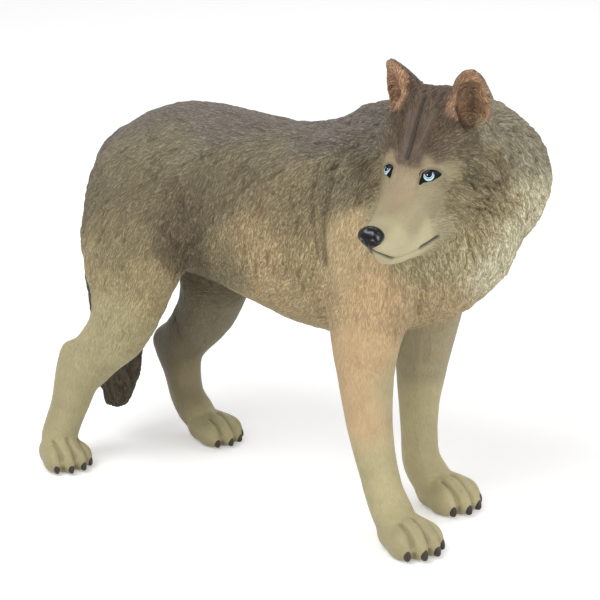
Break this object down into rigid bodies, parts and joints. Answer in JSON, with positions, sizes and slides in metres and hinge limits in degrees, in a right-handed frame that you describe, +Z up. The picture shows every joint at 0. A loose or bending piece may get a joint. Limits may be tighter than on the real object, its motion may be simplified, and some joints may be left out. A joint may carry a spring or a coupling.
{
  "type": "animal toy figure",
  "caption": "Moulded soft-vinyl standing wolf figure, head turned to its right, with upright cupped ears, a hanging bushy tail and flat soles that stand it on a shelf.",
  "frame": {"origin": "centre of the figure's bounding box, on the ground under it", "axes": "+X the way the body faces, from tail to chest, +Y towards the wolf's left side, +Z up"},
  "size_m": [0.1878, 0.0878, 0.1672],
  "materials": {
    "coat": "soft vinyl with a moulded fur grain, sprayed olive-beige with a dark grey-brown back and satin sheen"
  },
  "bodies": {
    "root": {"wolf_figure": "coat"}
  },
  "joints": []
}
